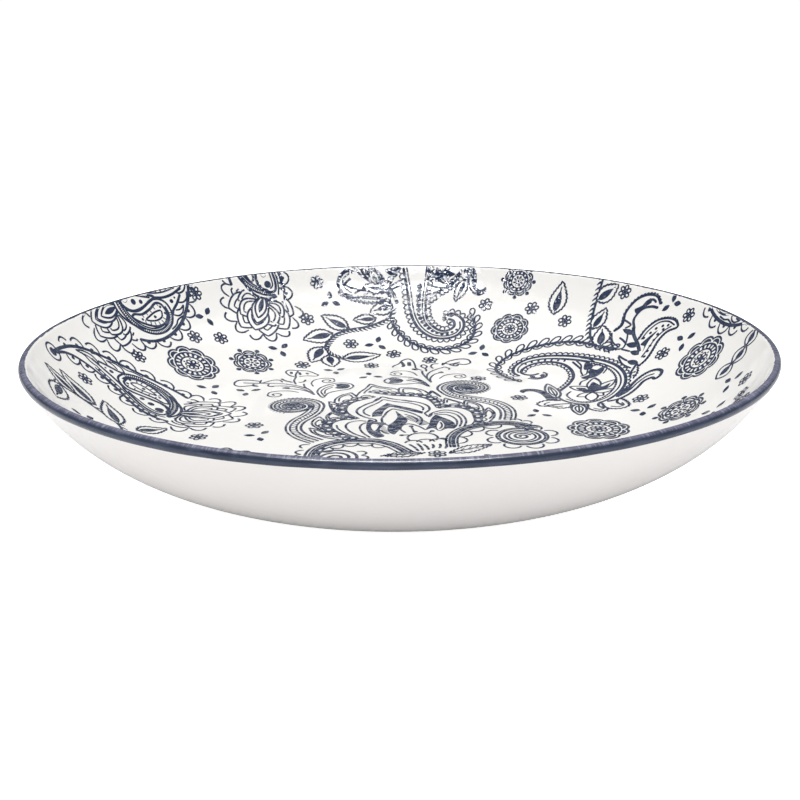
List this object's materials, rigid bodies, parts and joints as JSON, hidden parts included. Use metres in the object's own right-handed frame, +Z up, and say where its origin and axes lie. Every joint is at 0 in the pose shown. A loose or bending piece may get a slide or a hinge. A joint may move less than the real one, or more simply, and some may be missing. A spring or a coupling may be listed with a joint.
{
  "type": "serving bowl",
  "caption": "Shallow round porcelain serving bowl with a flat floor, a foot ring, a dark painted lip and a blue paisley and flower print inside.",
  "frame": {"origin": "centre of the circle that the foot ring stands on", "axes": "+Z up along the bowl's turning axis, out of its mouth; -Y is the side seen in front"},
  "size_m": [0.305, 0.305, 0.05],
  "materials": {
    "porcelain": "matt fired porcelain",
    "bare_foot": "matt, ground smooth, unglazed",
    "white_glaze": "high gloss, clear to white",
    "printed_ink": "gloss, fired under the glaze",
    "painted_band": "gloss, hand lined"
  },
  "bodies": {
    "root": {"porcelain_body": "porcelain", "foot_ring": "bare_foot", "inner_glaze": "white_glaze", "outer_glaze": "white_glaze", "recess_glaze": "white_glaze", "inner_print": "printed_ink", "rim_band": "painted_band"}
  },
  "joints": []
}
